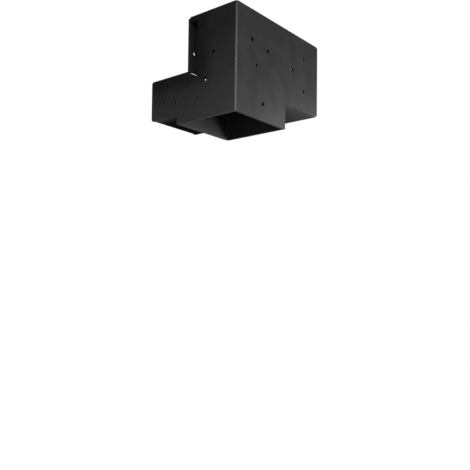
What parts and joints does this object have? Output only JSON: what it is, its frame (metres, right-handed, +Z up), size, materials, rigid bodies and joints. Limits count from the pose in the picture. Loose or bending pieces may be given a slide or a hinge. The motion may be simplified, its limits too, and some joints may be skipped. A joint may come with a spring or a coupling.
{
  "type": "corner post connector",
  "caption": "Welded steel corner connector with a collar for a square post below, a deep box for a beam on one side and a shallow arm for a beam on the other.",
  "frame": {"origin": "on the axis of the post collar, in the plane of its lower rim", "axes": "+Z up along the post, +X along the deep beam box, +Y along the shallow arm; the bent corner of the two near faces stands at -X -Y"},
  "size_m": [0.278, 0.233, 0.212],
  "materials": {
    "black_coat": "satin black powder coat over steel"
  },
  "bodies": {
    "root": {"corner_wrap": "black_coat", "collar_back_wrap": "black_coat", "seat_plate": "black_coat", "box_far_wall": "black_coat", "box_top_plate": "black_coat", "arm_far_wall": "black_coat", "arm_bottom_plate": "black_coat", "arm_top_plate": "black_coat", "weld_under_right_arm": "black_coat", "weld_under_left_arm": "black_coat", "weld_arm_to_collar": "black_coat", "weld_arm_to_seat": "black_coat", "weld_box_to_seat": "black_coat", "weld_box_to_arm": "black_coat"}
  },
  "joints": []
}
